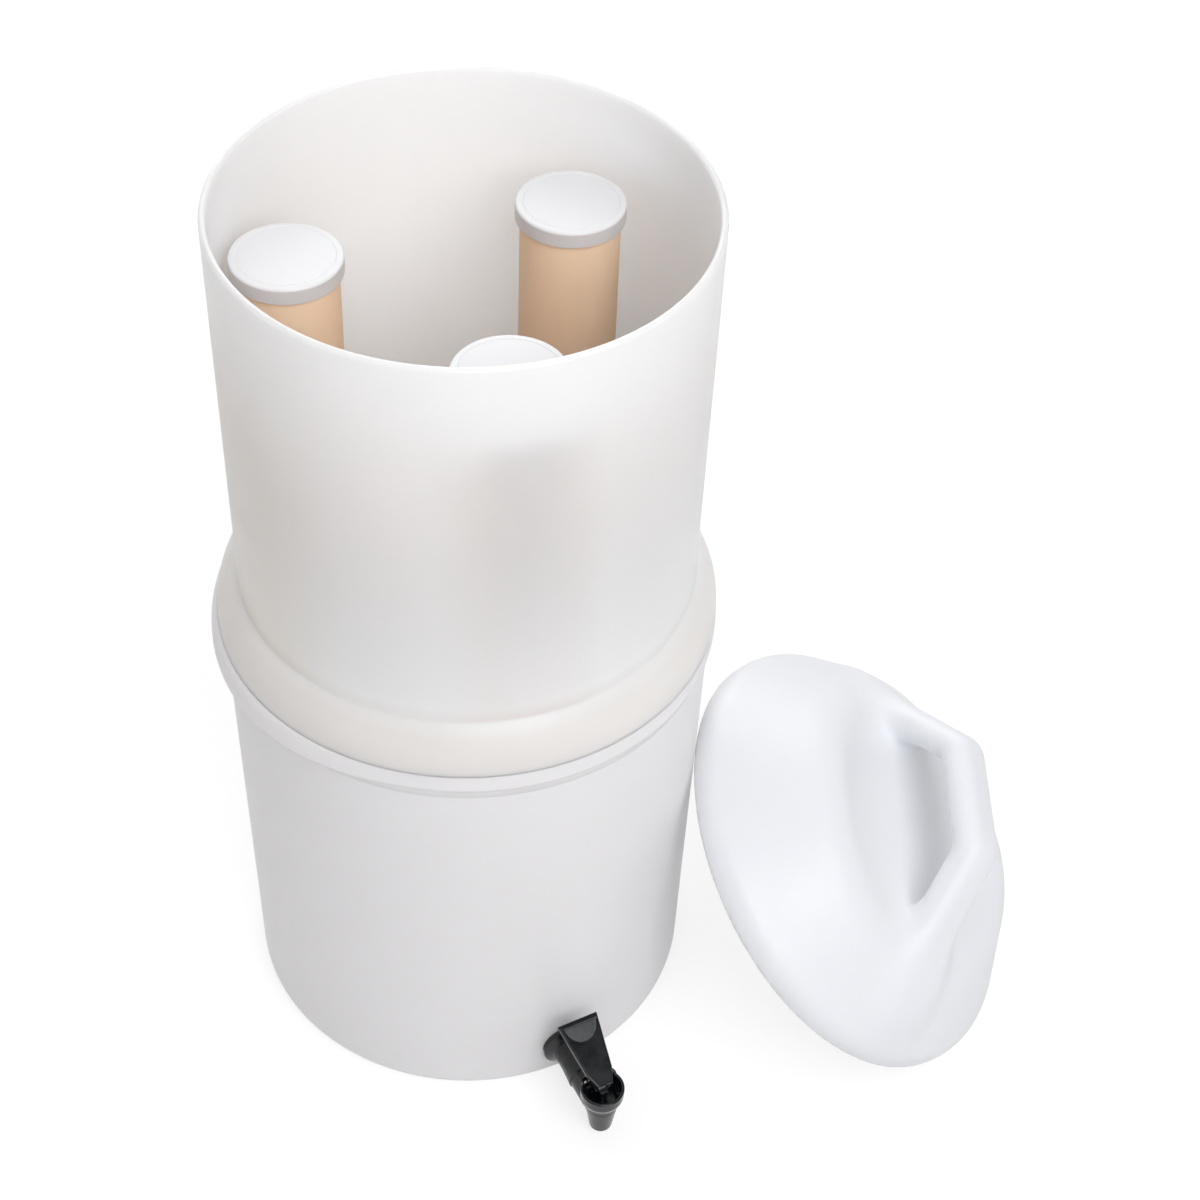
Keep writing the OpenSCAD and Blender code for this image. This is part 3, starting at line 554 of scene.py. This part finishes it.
def moulded(name, shape, low, high, cell, finish, place=None):
    """The skin of a solid, whose distance in millimetres shape(x, y, z) gives."""
    low, high = np.array(low, float), np.array(high, float)
    count = np.ceil((high - low) / cell).astype(int) + 1
    value = shape(*np.meshgrid(*[low[k] + cell * np.arange(count[k]) for k in range(3)], indexing="ij"))
    inside = value < 0
    # The cells that the skin crosses, and a point in each, halfway between its crossings.
    filled = np.zeros(count - 1, int)
    for corner in np.ndindex(2, 2, 2):
        filled += inside[tuple(slice(corner[k], count[k] - 1 + corner[k]) for k in range(3))]
    cells = np.argwhere((filled > 0) & (filled < 8))
    number = np.full(count - 1, -1)
    number[tuple(cells.T)] = np.arange(len(cells))
    total, hits = np.zeros((len(cells), 3)), np.zeros(len(cells))
    faces = []
    for axis in range(3):
        step, u, v = np.eye(3, dtype=int)[[axis, (axis + 1) % 3, (axis + 2) % 3]]
        for corner in (0 * u, u, v, u + v):
            start = cells + corner
            a, b = value[tuple(start.T)], value[tuple((start + step).T)]
            cross = (a < 0) != (b < 0)
            total[cross] += start[cross] + (a[cross] / (a[cross] - b[cross]))[:, None] * step
            hits[cross] += 1
        # A face round each edge of the grid that the skin crosses, wound so that it looks outward.
        ahead, behind = [slice(None)] * 3, [slice(None)] * 3
        ahead[axis], behind[axis] = slice(1, None), slice(None, -1)
        edges = np.argwhere(inside[tuple(ahead)] != inside[tuple(behind)])
        ring = np.stack([number[tuple((edges - shift).T)] for shift in (0 * u, u, u + v, v)], axis=1)
        outward = inside[tuple(edges.T)]
        faces += [ring[outward], ring[~outward][:, ::-1]]
    # The points settle onto the true skin, down the slope of its distance.
    points = low + cell * total / hits[:, None]
    for _ in range(SETTLING):
        here = shape(*points.T)
        slope = np.stack([shape(*(points + PROBE * np.eye(3)[k]).T) - here for k in range(3)], axis=1) / PROBE
        push = here / np.maximum((slope ** 2).sum(axis=1), 0.25)
        points -= np.clip(push, -cell, cell)[:, None] * slope
    mesh = bpy.data.meshes.new(name)
    mesh.from_pydata((points * MM).tolist(), [], np.concatenate(faces).tolist())
    mesh.shade_smooth()
    mesh.materials.append(finish)
    if place is not None:
        mesh.transform(place)
    piece = bpy.data.objects.new(name, mesh)
    bpy.context.collection.objects.link(piece)
    return piece


NUT_H, NUT_R, NUT_FLANGE_R = 11.0, 10.0, 13.0
wing_side = [(0, 2), (4, 0.6), (17, 0), (19, 1), (20, 3), (19, 5), (17, 6), (12, 7.6), (0, 7.6)]


def wing_nut_shape(x, y, z):
    r = np.hypot(x, y)
    hub = round_trim(r - NUT_R, np.abs(z - NUT_H / 2) - NUT_H / 2, 1.0)
    flange = round_trim(r - NUT_FLANGE_R, np.abs(z - NUT_H + 1.2) - 1.2, 0.8)
    wings = round_trim(to_outline(both_sides(wing_side), x, z), np.abs(y) - 1.8, 1.2)
    return trim(join(join(hub, flange, 1.2), wings, 2.0), STEM_R + FIT - r, 0.5)


for number in CANDLES:
    nut_place = candle_place(number) @ Matrix.Translation((0, 0, (TUB_UNDER - NUT_H) * MM))
    nut = moulded("wing_nut_piece_%d" % (number + 1), wing_nut_shape, (-21.5, -14.5, -1.5), (21.5, 14.5, 12.5),
                  0.6, cap_plastic, nut_place)
    dress(nut, "upper", "cap_plastic", "wing_nut_%d" % (number + 1))

# ---------------------------------------------------------------------------
# Tap body: one black glossy moulding. A threaded shank goes through the wall, a flange bears on
# it, and a barrel leads to the valve housing, with an open cup above and a tapered spout below.
TAP_Z, REACH = 26.0, 47.8
WALL_R = FOOT_R + (NECK_R - FOOT_R) * TAP_Z / LIP_Z
VALVE_Y, PIN_BACK = -(WALL_R + REACH), 8.0
PIN_Y, PIN_Z, PIN_R = VALVE_Y + PIN_BACK, 42.2, 1.5
SHANK_R, SHANK_IN, FLANGE_R = 8.0, 16.891, 14.0
SPOUT_Z, SEAT_Z, CHAMBER_TOP = TAP_Z - 18.1, TAP_Z - 9.0, 30.0
SPOUT_BORE, CHAMBER_R, WATER_R = 4.0, 6.0, 3.5
BONNET_TOP, BONNET_R, CUP_TOP, CUP_R, CUP_WALL = 32.4, 8.0, 42.7, 12.6, 2.0
EAR_R, SLOT_DEEP = 3.4, 3.6
SLOT_HALF = math.sqrt((CUP_R - CUP_WALL) ** 2 - PIN_BACK ** 2)


def glossy_black(name, roughness):
    """Black moulded plastic: glossy, with a slight orange peel, dust and handling marks."""
    material, tree, shader, place = new_finish(name)
    marks = speckle(tree, place, 120.0, 5.0, (1, 1, 3))
    feed(tree, shader, {
        "Base Color": tinted(tree, marks, (0.003, 0.0042, 0.0055), (0.007, 0.009, 0.0115)),
        "Roughness": spread(tree, marks, roughness - 0.04, roughness + 0.07),
        "Normal": relief(tree, speckle(tree, place, 420.0), 0.05, 0.0004), "IOR": 1.5})
    return material


black_gloss = glossy_black("black_gloss", 0.17)
barrel_side = both_sides([
    (0, -SHANK_IN), (7.6, -SHANK_IN), (7.6, 2.2), (FLANGE_R, 2.2), (FLANGE_R, 3.2), (9.65, 5.2), (9.25, 6.7),
    (9.25, 16.2), (10.05, 27.2), (9.25, 27.7), (9.25, REACH - 6), (8.1, REACH), (0, REACH)])
housing_side = both_sides([
    (0, SPOUT_Z), (6.6, SPOUT_Z), (9.1, TAP_Z - 0.5), (9.4, 29.5), (11.2, 33), (12.3, 36), (CUP_R, CUP_TOP),
    (CUP_R, 48), (0, 48)])
water_way = both_sides([
    (0, 0), (SPOUT_BORE, 0), (SPOUT_BORE, SEAT_Z), (CHAMBER_R, SEAT_Z), (CHAMBER_R, CHAMBER_TOP),
    (BONNET_R + 0.2, CHAMBER_TOP), (BONNET_R + 0.2, 34), (CUP_R - CUP_WALL, 36),
    (CUP_R - CUP_WALL, 50), (0, 50)])


def tap_body_shape(x, y, z):
    along = -y - WALL_R
    around = np.hypot(x, z - TAP_Z)
    r = np.hypot(x, y - VALVE_Y)
    barrel = to_outline(barrel_side, around, along)
    housing = to_outline(housing_side, r, z)
    solid = join(barrel, housing, 1.6)
    around_pin = np.hypot(y - PIN_Y, z - PIN_Z)
    ears = np.minimum(around_pin - EAR_R, np.maximum(np.abs(y - PIN_Y) - EAR_R, z - PIN_Z))
    solid = round_trim(solid, np.minimum(z - CUP_TOP, join(ears, z - CUP_TOP + 0.4, 1.0)), 0.6)
    slot = np.maximum(np.maximum(np.abs(x) - SLOT_HALF, VALVE_Y - y), PIN_Z - SLOT_DEEP - z)
    hollow = np.minimum(to_outline(water_way, r, z), np.maximum(around - WATER_R, along - REACH))
    hollow = np.minimum(np.minimum(hollow, slot), around_pin - PIN_R)
    return trim(solid, -hollow, 0.5)


tap = moulded("tap_moulding", tap_body_shape, (-15.2, VALVE_Y - 13.7, SPOUT_Z - 1.2),
              (15.2, -WALL_R + 18.2, 47.2), 0.4, black_gloss)
dress(tap, "lower", "tap_plastic", "tap_body")
shank_thread = thread("shank_thread", SHANK_R - 0.55, 2.0, 13.2, 0.5, black_gloss,
                      Matrix.Translation((0, (-WALL_R + SHANK_IN - 1) * MM, TAP_Z * MM))
                      @ Matrix.Rotation(math.radians(90), 4, "X"))
dress(shank_thread, "lower", "tap_plastic")

# ---------------------------------------------------------------------------
# Lever: the black paddle that is pressed back to open the tap. Its hub turns on a steel pin in
# the cup, a fork lifts the valve's stem, and a thumb rest is sunk near its wide end.
PADDLE_TURN = math.radians(25.4)
PADDLE_L, PADDLE_FRONT, PADDLE_TOP, PADDLE_T = 32.8, 7.8, 11.3, 3.0
HUB_R, LEVER_HALF = 3.2, SLOT_HALF - 0.25
REST_END, REST_R, REST_SLOPE = PADDLE_L - 3.6, 9.8, 0.13
TONGUE_X, TINE_X, TINE_HALF, TOE_R = -2.4, 3.5, 1.2, 1.5
paddle_plan = [(-PADDLE_FRONT, 4.4), (-3, 6.2), (1, 7.9), (PADDLE_L, 12.3)]
paddle_plan = paddle_plan + [(u, -w) for u, w in reversed(paddle_plan)]
web_side = [(-1.8, 0), (2.6, 0), (5.5, PADDLE_TOP - 2), (-1.8, PADDLE_TOP - 2)]
tongue_side = [(-11.5, 6.8), (-14.7, 5.6), (-13.8, -0.8), (-13.3, -0.8), (-13.3, 4.2), (-10.2, 4.6)]


def lever_shape(x, y, z):
    dy, dz = y - PIN_Y, z - PIN_Z
    u = dy * math.cos(PADDLE_TURN) + dz * math.sin(PADDLE_TURN)
    v = dz * math.cos(PADDLE_TURN) - dy * math.sin(PADDLE_TURN)
    thick = np.abs(v - PADDLE_TOP + PADDLE_T / 2) - PADDLE_T / 2
    paddle = round_trim(to_outline(paddle_plan, u, x), thick, 0.7)
    rest = np.maximum(np.hypot(u - REST_END, x) - REST_R, u - REST_END)
    rest = np.maximum(rest, PADDLE_TOP - 0.3 - v - REST_SLOPE * (REST_END - u))
    paddle = trim(paddle, -rest, 1.1)
    web = round_trim(to_outline(web_side, u, v), np.abs(x) - LEVER_HALF + 0.5, 0.5)
    taper = (np.abs(x - TONGUE_X) - 0.4 - 0.27 * (dz + 0.8)) * 0.96
    tongue = round_trim(to_outline(tongue_side, dy, dz), taper, 0.2)
    hub = round_trim(np.hypot(dy, dz) - HUB_R, np.abs(x) - LEVER_HALF, 0.5)
    arm = np.maximum(np.maximum(VALVE_Y - y, y - PIN_Y + 2.1), np.abs(dz) - TOE_R)
    toe = np.minimum(np.hypot(y - VALVE_Y, dz) - TOE_R, arm)
    lever = join(join(paddle, tongue, 0.6), join(web, hub, 0.6), 0.8)
    lever = join(lever, round_trim(toe, np.abs(np.abs(x) - TINE_X) - TINE_HALF, 0.3), 0.6)
    return trim(lever, PIN_R + FIT - np.hypot(dy, dz), 0.3)


lever = moulded("lever_moulding", lever_shape, (-13.4, VALVE_Y - 7.9, 37.8), (13.4, -140.6, 67.6), 0.36,
                black_gloss)
dress(lever, "lever", "tap_plastic", "tap_lever")

# ---------------------------------------------------------------------------
# Inside the tap: a steel pin and spring, the stem with its rubber plug, and the seal disc and
# bonnet over the chamber. The spring is wire wound by nodes; the rest are turned.
valve_place = Matrix.Translation((0, VALVE_Y * MM, 0))


def drawn_steel(name):
    """Stainless wire and pin: bright, with fine marks along the draw."""
    material, tree, shader, place = new_finish(name)
    marks = speckle(tree, place, 700.0, 3.0, (0.15, 1, 1))
    feed(tree, shader, {
        "Base Color": tinted(tree, marks, (0.50, 0.50, 0.49), (0.64, 0.64, 0.63)),
        "Roughness": spread(tree, marks, 0.2, 0.38), "Metallic": 1.0})
    return material


steel = drawn_steel("drawn_steel")
PIN_HALF = math.sqrt(CUP_R ** 2 - (PIN_BACK + PIN_R) ** 2)
pin_place = Matrix.Translation((0, PIN_Y * MM, PIN_Z * MM)) @ Matrix.Rotation(math.radians(90), 4, "Y")
pin = turned("lever_pin", [
    (0, -PIN_HALF, 0), (PIN_R, -PIN_HALF, 0.3), (PIN_R, PIN_HALF, 0.3), (0, PIN_HALF, 0)],
    steel, steps=48, place=pin_place)
dress(pin, "lower", "steel", "tap_pivot_pin")

VALVE_STEM_R, HEAD_R, PLUG_R = 2.0, 3.6, 5.2
PLUG_Z, HEAD_Z = SEAT_Z + 0.1, PIN_Z + 1.65
STEM_FOOT, PLUG_TOP, HEAD_TOP = PLUG_Z + 1.4, PLUG_Z + 3.4, HEAD_Z + 1.5
STEM_HOLE, DISC_TOP = VALVE_STEM_R + FIT, CHAMBER_TOP + 1
stem = turned("valve_stem", [
    (0, STEM_FOOT, 0), (VALVE_STEM_R, STEM_FOOT, 0.3), (VALVE_STEM_R, HEAD_Z, 0.2), (HEAD_R, HEAD_Z, 0.3),
    (HEAD_R, HEAD_TOP, 0.6), (0, HEAD_TOP, 0)], black_gloss, steps=48, place=valve_place)
dress(stem, "stem", "stem_plastic", "tap_stem")
plug = turned("valve_plug", [
    (0, PLUG_Z, 0), (PLUG_R - 0.8, PLUG_Z, 0.2), (PLUG_R, PLUG_Z + 0.8, 0.3), (PLUG_R, PLUG_TOP, 0.4),
    (VALVE_STEM_R + 0.02, PLUG_TOP, 0.1), (VALVE_STEM_R + 0.02, STEM_FOOT, 0), (0, STEM_FOOT, 0)],
    rubber, steps=48, place=valve_place)
dress(plug, "stem", "rubber", "tap_seat_plug")
disc = turned("seal_disc", [
    (STEM_HOLE, CHAMBER_TOP, 0.1), (BONNET_R, CHAMBER_TOP, 0.2), (BONNET_R, DISC_TOP, 0.2),
    (STEM_HOLE, DISC_TOP, 0.1)], rubber, closed=True, steps=64, place=valve_place)
dress(disc, "lower", "rubber", "tap_seal_disc")
bonnet = turned("bonnet", [
    (STEM_HOLE, DISC_TOP, 0.1), (BONNET_R, DISC_TOP, 0.2), (BONNET_R, BONNET_TOP, 0.3),
    (STEM_HOLE, BONNET_TOP, 0.3)], black_gloss, closed=True, steps=64, place=valve_place)
dress(bonnet, "lower", "tap_plastic", "tap_bonnet")


def spring_tree():
    """Round wire wound as a coil."""
    tree, given, result = new_tree("spring", Radius="Float", Length="Float", Turns="Float", Wire="Float",
                                   Finish="Material")
    helix = add(tree, "GeometryNodeCurveSpiral", {
        "Resolution": 40, "Rotations": given["Turns"], "Start Radius": given["Radius"],
        "End Radius": given["Radius"], "Height": given["Length"]})
    wire = add(tree, "GeometryNodeCurvePrimitiveCircle", {"Resolution": 12, "Radius": given["Wire"]},
               mode="RADIUS")
    swept = add(tree, "GeometryNodeCurveToMesh", {
        "Curve": out(helix, "Curve"), "Profile Curve": out(wire, "Curve"), "Fill Caps": True})
    end_tree(tree, out(swept, "Mesh"), True, given["Finish"], result["Geometry"])
    return tree


WIRE, COIL_R, COIL_TURNS = 0.45, 4.3, 4.5
SPRING_LOW, SPRING_HIGH = PLUG_TOP + WIRE, CHAMBER_TOP - WIRE
spring = grown("valve_spring", bpy.data.meshes.new("valve_spring"), spring_tree(),
               valve_place @ Matrix.Translation((0, 0, SPRING_LOW * MM)), Radius=COIL_R * MM,
               Length=(SPRING_HIGH - SPRING_LOW) * MM, Turns=COIL_TURNS, Wire=WIRE * MM, Finish=steel)
dress(spring, "lower", "steel", "tap_spring")
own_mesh(spring)

# ---------------------------------------------------------------------------
# Lock nut and washers: inside the bucket a flanged nut draws the tap against the wall, with a
# rubber washer behind it and one under the flange outside.
NUT_BACK, HEX_R, HEX_H, LOCK_FLANGE_R = -115.08, 13.0, 7.0, 13.0
lock_place = Matrix.Translation((0, NUT_BACK * MM, TAP_Z * MM)) @ Matrix.Rotation(math.radians(90), 4, "X")
hexagon = [(HEX_R * math.cos(math.radians(60 * k)), HEX_R * math.sin(math.radians(60 * k))) for k in range(6)]


def lock_nut_shape(x, y, z):
    r = np.hypot(x, y)
    six = round_trim(to_outline(hexagon, x, y), np.abs(z - HEX_H / 2) - HEX_H / 2, 0.5)
    six = trim(six, (r - z - HEX_R + 0.4) * 0.7, 0.3)
    flange = round_trim(r - LOCK_FLANGE_R, np.abs(z - 6.2) - 0.8, 0.4)
    return trim(np.minimum(six, flange), SHANK_R + 0.02 - r, 0.5)


lock_nut = moulded("lock_nut_piece", lock_nut_shape, (-14.2, -14.2, -1.2), (14.2, 14.2, 8.2), 0.4,
                   black_gloss, lock_place)
dress(lock_nut, "lower", "tap_plastic", "tap_lock_nut")
for name in ("tap_outer_gasket", "tap_inner_washer"):
    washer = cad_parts[name].data
    washer.materials.clear()
    washer.materials.append(rubber)

# ---------------------------------------------------------------------------
# Lid: a domed cap with a wide hollow across its top, bridged by an arch grip, in the same white
# plastic. It is taken off and leans on the bucket. All its parts run into one another softly.
LID_R, SHOULDER, SKIRT = 128.0, 17.0, 4.5
CONE = LID_R - SHOULDER + math.sqrt(2) * SHOULDER + SKIRT
HOLLOW_H, HOLLOW_R, HOLLOW_SOFT = 50.0, 220.0, 13.0
GRIP_TOP, GRIP_SUM, GRIP_BEND = 105.0, CONE + 0.8, 20.0
GRIP_HALF, GRIP_FLARE, GRIP_ROUND, GRIP_SOFT = 13.5, 2.5, 9.5, 18.0
GAP_TOP, GAP_SUM, GAP_BEND = 81.0, 113.4, 4.0
lid_place = (Matrix.Rotation(math.radians(-38.9), 4, "Z")
             @ Matrix.Translation((221.8459 * MM, 23.0 * MM, 87.2233 * MM))
             @ Matrix.Rotation(math.radians(43.4), 4, "Y") @ Matrix.Rotation(math.radians(-70.8), 4, "Z"))
shoulder = [(LID_R - SHOULDER + SHOULDER * math.cos(math.radians(angle)),
             SKIRT + SHOULDER * math.sin(math.radians(angle))) for angle in range(0, 46, 9)]
dome_side = both_sides([(0, -30), (LID_R, -30)] + shoulder + [(0, CONE)])
arch_sum, arch_top = GRIP_SUM - GRIP_BEND * math.sqrt(2), GRIP_TOP - GRIP_BEND
arch_side = both_sides([(0, 20), (arch_sum - 20, 20), (arch_sum - arch_top, arch_top), (0, arch_top)])
gap_sum = GAP_SUM - GAP_BEND * math.sqrt(2)
gap_side = both_sides([(0, 20), (gap_sum - 20, 20), (gap_sum - GAP_TOP, GAP_TOP), (0, GAP_TOP)])


def lid_shape(a, w, h):
    dome = to_outline(dome_side, np.hypot(a, w), h)
    trough = HOLLOW_R - np.hypot(w, h - HOLLOW_H - HOLLOW_R)
    outer, inner = trim(dome, trough, HOLLOW_SOFT), trim(dome + WALL, trough + WALL, HOLLOW_SOFT)
    arch = np.maximum(to_outline(arch_side, a, h) - GRIP_BEND, GAP_BEND - to_outline(gap_side, a, h))
    width = GRIP_HALF + GRIP_FLARE * np.clip((88 - h) / 45, 0, 1)
    outer = join(outer, round_trim(arch, np.abs(w) - width, GRIP_ROUND), GRIP_SOFT)
    return trim(trim(outer, -inner, 0.8), -h, 1.6)


lid_plastic = milky_plastic(
    "milky_lid", (0.805, 0.815, 0.845), (0.79, 0.80, 0.825), 0.42, 0.7, (0.95, 0.97, 1.0))
lid = moulded("domed_lid", lid_shape, (-130.5, -130.5, -2), (130.5, 130.5, 106), 1.6, lid_plastic, lid_place)
dress(lid, "lid", "lid_plastic", "lid")


# ---------------------------------------------------------------------------
# Studio: a plain pale floor that shows white and keeps the soft shadow, a white surround, and
# lamps: large ones in front and behind, a weak one overhead, and a weak warm one at the left.
def white_to_camera(tree, seen, unseen, output):
    """One shader for rays from the camera, mirrors and glass, and another for the rest."""
    path = add(tree, "ShaderNodeLightPath")
    either = maths(tree, "MAXIMUM", out(path, "Is Camera Ray"), out(path, "Is Glossy Ray"))
    either = maths(tree, "MAXIMUM", either, out(path, "Is Transmission Ray"))
    mixed = tree.nodes.new("ShaderNodeMixShader")
    for source, socket in zip((either, unseen, seen), mixed.inputs):
        tree.links.new(source, socket)
    tree.links.new(mixed.outputs[0], output)


FLOOR_HALF = 4.0
floor_mesh = bpy.data.meshes.new("floor")
floor_mesh.from_pydata([(x * FLOOR_HALF, y * FLOOR_HALF, 0) for x, y in ((-1, -1), (1, -1), (1, 1), (-1, 1))],
                       [], [(0, 1, 2, 3)])
floor = bpy.data.objects.new("floor", floor_mesh)
bpy.context.collection.objects.link(floor)
floor_white = bpy.data.materials.new("floor_white")
floor_white.use_nodes = True
tree = floor_white.node_tree
tree.nodes.remove(tree.nodes["Principled BSDF"])
plain = add(tree, "ShaderNodeBsdfDiffuse", {"Color": (0.70, 0.70, 0.71, 1)})
soft = add(tree, "ShaderNodeBsdfDiffuse", {"Color": (0.36, 0.36, 0.36, 1)})
# The floor's own white grows with the distance from the object, where the lamps' light falls off.
spot = add(tree, "ShaderNodeVectorMath", {"Vector": out(add(tree, "ShaderNodeTexCoord"), "Object")},
           operation="LENGTH")
reach = ranged(tree, out(spot, "Value"), 0.9, 2.4, 0.7, 1.0)
glow = add(tree, "ShaderNodeEmission", {"Color": (1, 1, 1, 1), "Strength": reach})
lit = tree.nodes.new("ShaderNodeAddShader")
tree.links.new(out(soft, "BSDF"), lit.inputs[0])
tree.links.new(out(glow, "Emission"), lit.inputs[1])
white_to_camera(tree, lit.outputs[0], out(plain, "BSDF"), tree.nodes["Material Output"].inputs["Surface"])
floor_mesh.materials.append(floor_white)

world = bpy.data.worlds.new("studio")
bpy.context.scene.world = world
world.use_nodes = True
tree = world.node_tree
tree.nodes.remove(tree.nodes["Background"])
# The surround dims overhead, so that the glossy tap mirrors less of it.
way = add(tree, "ShaderNodeSeparateXYZ", {"Vector": out(add(tree, "ShaderNodeTexCoord"), "Generated")})
dusk = ranged(tree, out(way, "Z"), 0.2, 0.75, 1.0, 0.15)
seen = add(tree, "ShaderNodeBackground", {"Color": (1, 1, 1, 1), "Strength": dusk})
unseen = add(tree, "ShaderNodeBackground", {"Color": (0.985, 0.99, 1.0, 1), "Strength": 0.45})
white_to_camera(tree, out(seen, "Background"), out(unseen, "Background"),
                tree.nodes["World Output"].inputs["Surface"])


def lamp(name, place, aim, size, power, colour):
    """A square studio lamp aimed at a point."""
    light = bpy.data.lights.new(name, "AREA")
    light.size, light.energy, light.color = size, power, colour
    holder = bpy.data.objects.new(name, light)
    bpy.context.collection.objects.link(holder)
    holder.location = place
    holder.rotation_euler = (Vector(aim) - Vector(place)).to_track_quat("-Z", "Y").to_euler()


lamp("key_lamp", (-0.05, -1.7, 1.85), (0.0, 0.0, 0.3), 1.5, 33.0, (0.985, 0.99, 1.0))
lamp("back_lamp", (0.55, 1.6, 1.35), (0.0, 0.0, 0.4), 1.5, 18.5, (1.0, 1.0, 1.0))
lamp("top_lamp", (0.0, -0.1, 2.1), (0.0, 0.0, 0.3), 0.7, 1.6, (1.0, 1.0, 1.0))
lamp("warm_lamp", (-1.4, 0.9, 0.8), (0.0, 0.0, 0.35), 0.8, 0.8, (1.0, 0.82, 0.6))
